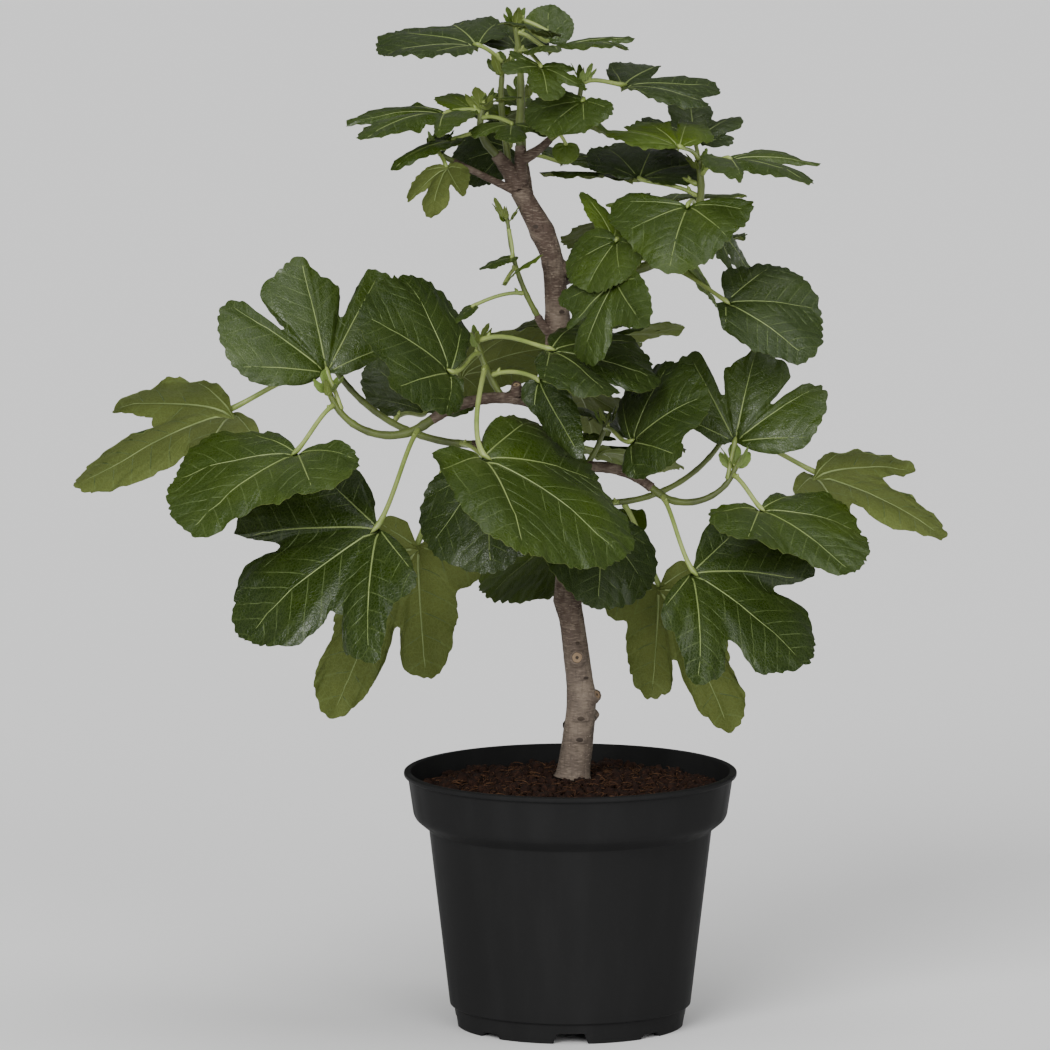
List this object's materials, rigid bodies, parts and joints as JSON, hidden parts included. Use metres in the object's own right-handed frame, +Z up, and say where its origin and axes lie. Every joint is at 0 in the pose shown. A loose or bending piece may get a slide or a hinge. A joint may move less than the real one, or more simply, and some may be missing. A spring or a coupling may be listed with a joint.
{
  "type": "potted fig tree",
  "caption": "Young fig tree with a bare leaning trunk and lobed leaves in dense masses, growing in a round black nursery pot.",
  "frame": {"origin": "centre of the pot's flat centre foot, on the floor, on the pot's axis", "axes": "+Z up along the trunk, -Y to the side seen in the picture, +X to that side's right"},
  "size_m": [0.7296, 0.5046, 0.8572],
  "materials": {
    "pot": "matt black moulded plastic",
    "soil": "loose dark brown coir compost",
    "bark": "grey-brown bark",
    "leaves": "deep green leaves with a waxy sheen"
  },
  "bodies": {
    "root": {"bough_left": "bark", "bough_left_low": "bark", "bough_rear_low": "bark", "bough_rear_middle": "bark", "bough_rear_top": "bark", "bough_rear_upper": "bark", "bough_right": "bark", "bough_right_low": "bark", "bough_small": "bark", "bough_top_left": "bark", "bough_top_middle": "bark", "bough_top_right": "bark", "bough_twig": "bark", "bough_upper_right": "bark", "leaves_centre": "leaves", "leaves_left": "leaves", "leaves_left_low": "leaves", "leaves_mid_right": "leaves", "leaves_rear_low": "leaves", "leaves_rear_middle": "leaves", "leaves_rear_top": "leaves", "leaves_rear_upper": "leaves", "leaves_right": "leaves", "leaves_right_centre": "leaves", "leaves_right_low": "leaves", "leaves_small": "leaves", "leaves_top_back": "leaves", "leaves_top_left": "leaves", "leaves_top_middle": "leaves", "leaves_top_right": "leaves", "leaves_twig": "leaves", "leaves_upper_right": "leaves", "pot": "pot", "soil": "soil", "trunk": "bark"}
  },
  "joints": []
}
